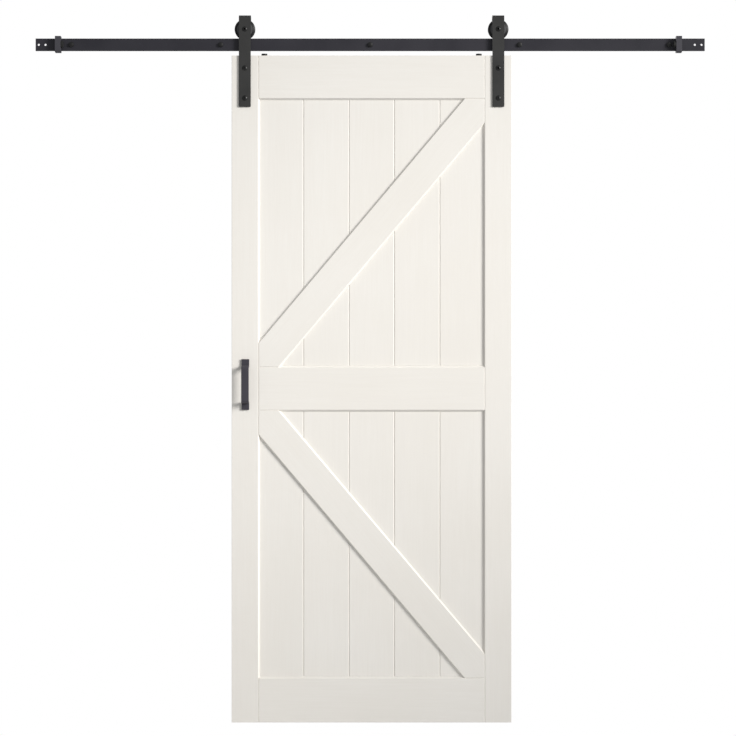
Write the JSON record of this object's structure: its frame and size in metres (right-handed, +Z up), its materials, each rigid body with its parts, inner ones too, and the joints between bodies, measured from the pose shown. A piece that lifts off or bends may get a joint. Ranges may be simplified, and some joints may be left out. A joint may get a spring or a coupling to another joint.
{
  "type": "sliding barn door with rail",
  "caption": "White framed plank barn door with diagonal braces, hung by bent strap hangers with grooved wheels on a flat black wall rail with end stops.",
  "frame": {"origin": "on the face of the wall, on the axis of the middle wall bolt, at the middle of the rail's length and height", "axes": "+X to the right along the rail, +Y into the wall along the wall bolts, +Z up"},
  "size_m": [2.143, 0.132, 2.2628],
  "materials": {
    "painted_wood": "satin warm white paint on wood, smooth, with the wood's grain just showing through",
    "rail_steel": "black powder coat, fine texture, low sheen",
    "hanger_steel": "black powder coat, fine texture, low sheen",
    "handle_steel": "black powder coat, fine texture, low sheen",
    "stop_steel": "dark grey powder coat, low sheen",
    "wheel_steel": "turned steel with a black finish, low sheen",
    "black_fasteners": "black oxide on steel, low sheen",
    "bearing_steel": "ground bearing steel",
    "cage_brass": "machined brass",
    "bumper_rubber": "matt black moulded rubber",
    "disk_nylon": "matt black moulded nylon",
    "beech": "bare beech dowel"
  },
  "bodies": {
    "track": {"track_rail": "rail_steel", "lag_bolts": "black_fasteners", "lag_washers": "black_fasteners", "stop_set_screws": "black_fasteners", "spacer_1": "rail_steel", "spacer_2": "rail_steel", "spacer_3": "rail_steel", "spacer_4": "rail_steel", "spacer_5": "rail_steel", "left_stop": "stop_steel", "right_stop": "stop_steel", "left_bumper": "bumper_rubber", "right_bumper": "bumper_rubber"},
    "door": {"left_stile": "painted_wood", "right_stile": "painted_wood", "top_rail": "painted_wood", "middle_rail": "painted_wood", "bottom_rail": "painted_wood", "frame_dowels": "beech", "upper_board_1": "painted_wood", "upper_board_2": "painted_wood", "upper_board_3": "painted_wood", "upper_board_4": "painted_wood", "upper_board_5": "painted_wood", "lower_board_1": "painted_wood", "lower_board_2": "painted_wood", "lower_board_3": "painted_wood", "lower_board_4": "painted_wood", "lower_board_5": "painted_wood", "upper_brace": "painted_wood", "lower_brace": "painted_wood", "hanger_bolts": "black_fasteners", "hanger_barrel_nuts": "black_fasteners", "axle_nuts": "black_fasteners", "axle_sleeves": "bearing_steel", "disk_screws": "black_fasteners", "pull_handle": "handle_steel", "handle_screws": "black_fasteners", "left_hanger": "hanger_steel", "right_hanger": "hanger_steel", "left_axle_bolt": "black_fasteners", "right_axle_bolt": "black_fasteners", "left_bearing_inner_ring": "bearing_steel", "right_bearing_inner_ring": "bearing_steel", "left_anti_jump_disk": "disk_nylon", "right_anti_jump_disk": "disk_nylon"},
    "left_wheel": {"left_wheel": "wheel_steel", "left_bearing_outer_ring": "bearing_steel", "left_bearing_shields": "bearing_steel", "left_retaining_ring": "bearing_steel"},
    "left_ball_set": {"left_bearing_balls": "bearing_steel", "left_ball_cage": "cage_brass"},
    "right_wheel": {"right_wheel": "wheel_steel", "right_bearing_outer_ring": "bearing_steel", "right_bearing_shields": "bearing_steel", "right_retaining_ring": "bearing_steel"},
    "right_ball_set": {"right_bearing_balls": "bearing_steel", "right_ball_cage": "cage_brass"}
  },
  "joints": [
    {"name": "door_slide", "type": "slide", "parent": "track", "child": "door", "axis": [1, 0, 0], "range_m": [-0.5609, 0.5411]},
    {"name": "left_wheel_spin", "type": "hinge", "parent": "door", "child": "left_wheel", "pos_m": [-0.401, -0.033, 0.0489], "axis": [0, 1, 0], "continuous": true},
    {"name": "left_ball_orbit", "type": "hinge", "parent": "door", "child": "left_ball_set", "pos_m": [-0.401, -0.033, 0.0489], "axis": [0, 1, 0], "continuous": true},
    {"name": "right_wheel_spin", "type": "hinge", "parent": "door", "child": "right_wheel", "pos_m": [0.41, -0.033, 0.0489], "axis": [0, 1, 0], "continuous": true},
    {"name": "right_ball_orbit", "type": "hinge", "parent": "door", "child": "right_ball_set", "pos_m": [0.41, -0.033, 0.0489], "axis": [0, 1, 0], "continuous": true}
  ],
  "couplings": [
    {"joint": "left_wheel_spin", "follows": "door_slide", "rad_per_m": 34.965},
    {"joint": "left_ball_orbit", "follows": "door_slide", "rad_per_m": 21.95},
    {"joint": "right_wheel_spin", "follows": "door_slide", "rad_per_m": 34.965},
    {"joint": "right_ball_orbit", "follows": "door_slide", "rad_per_m": 21.95}
  ]
}
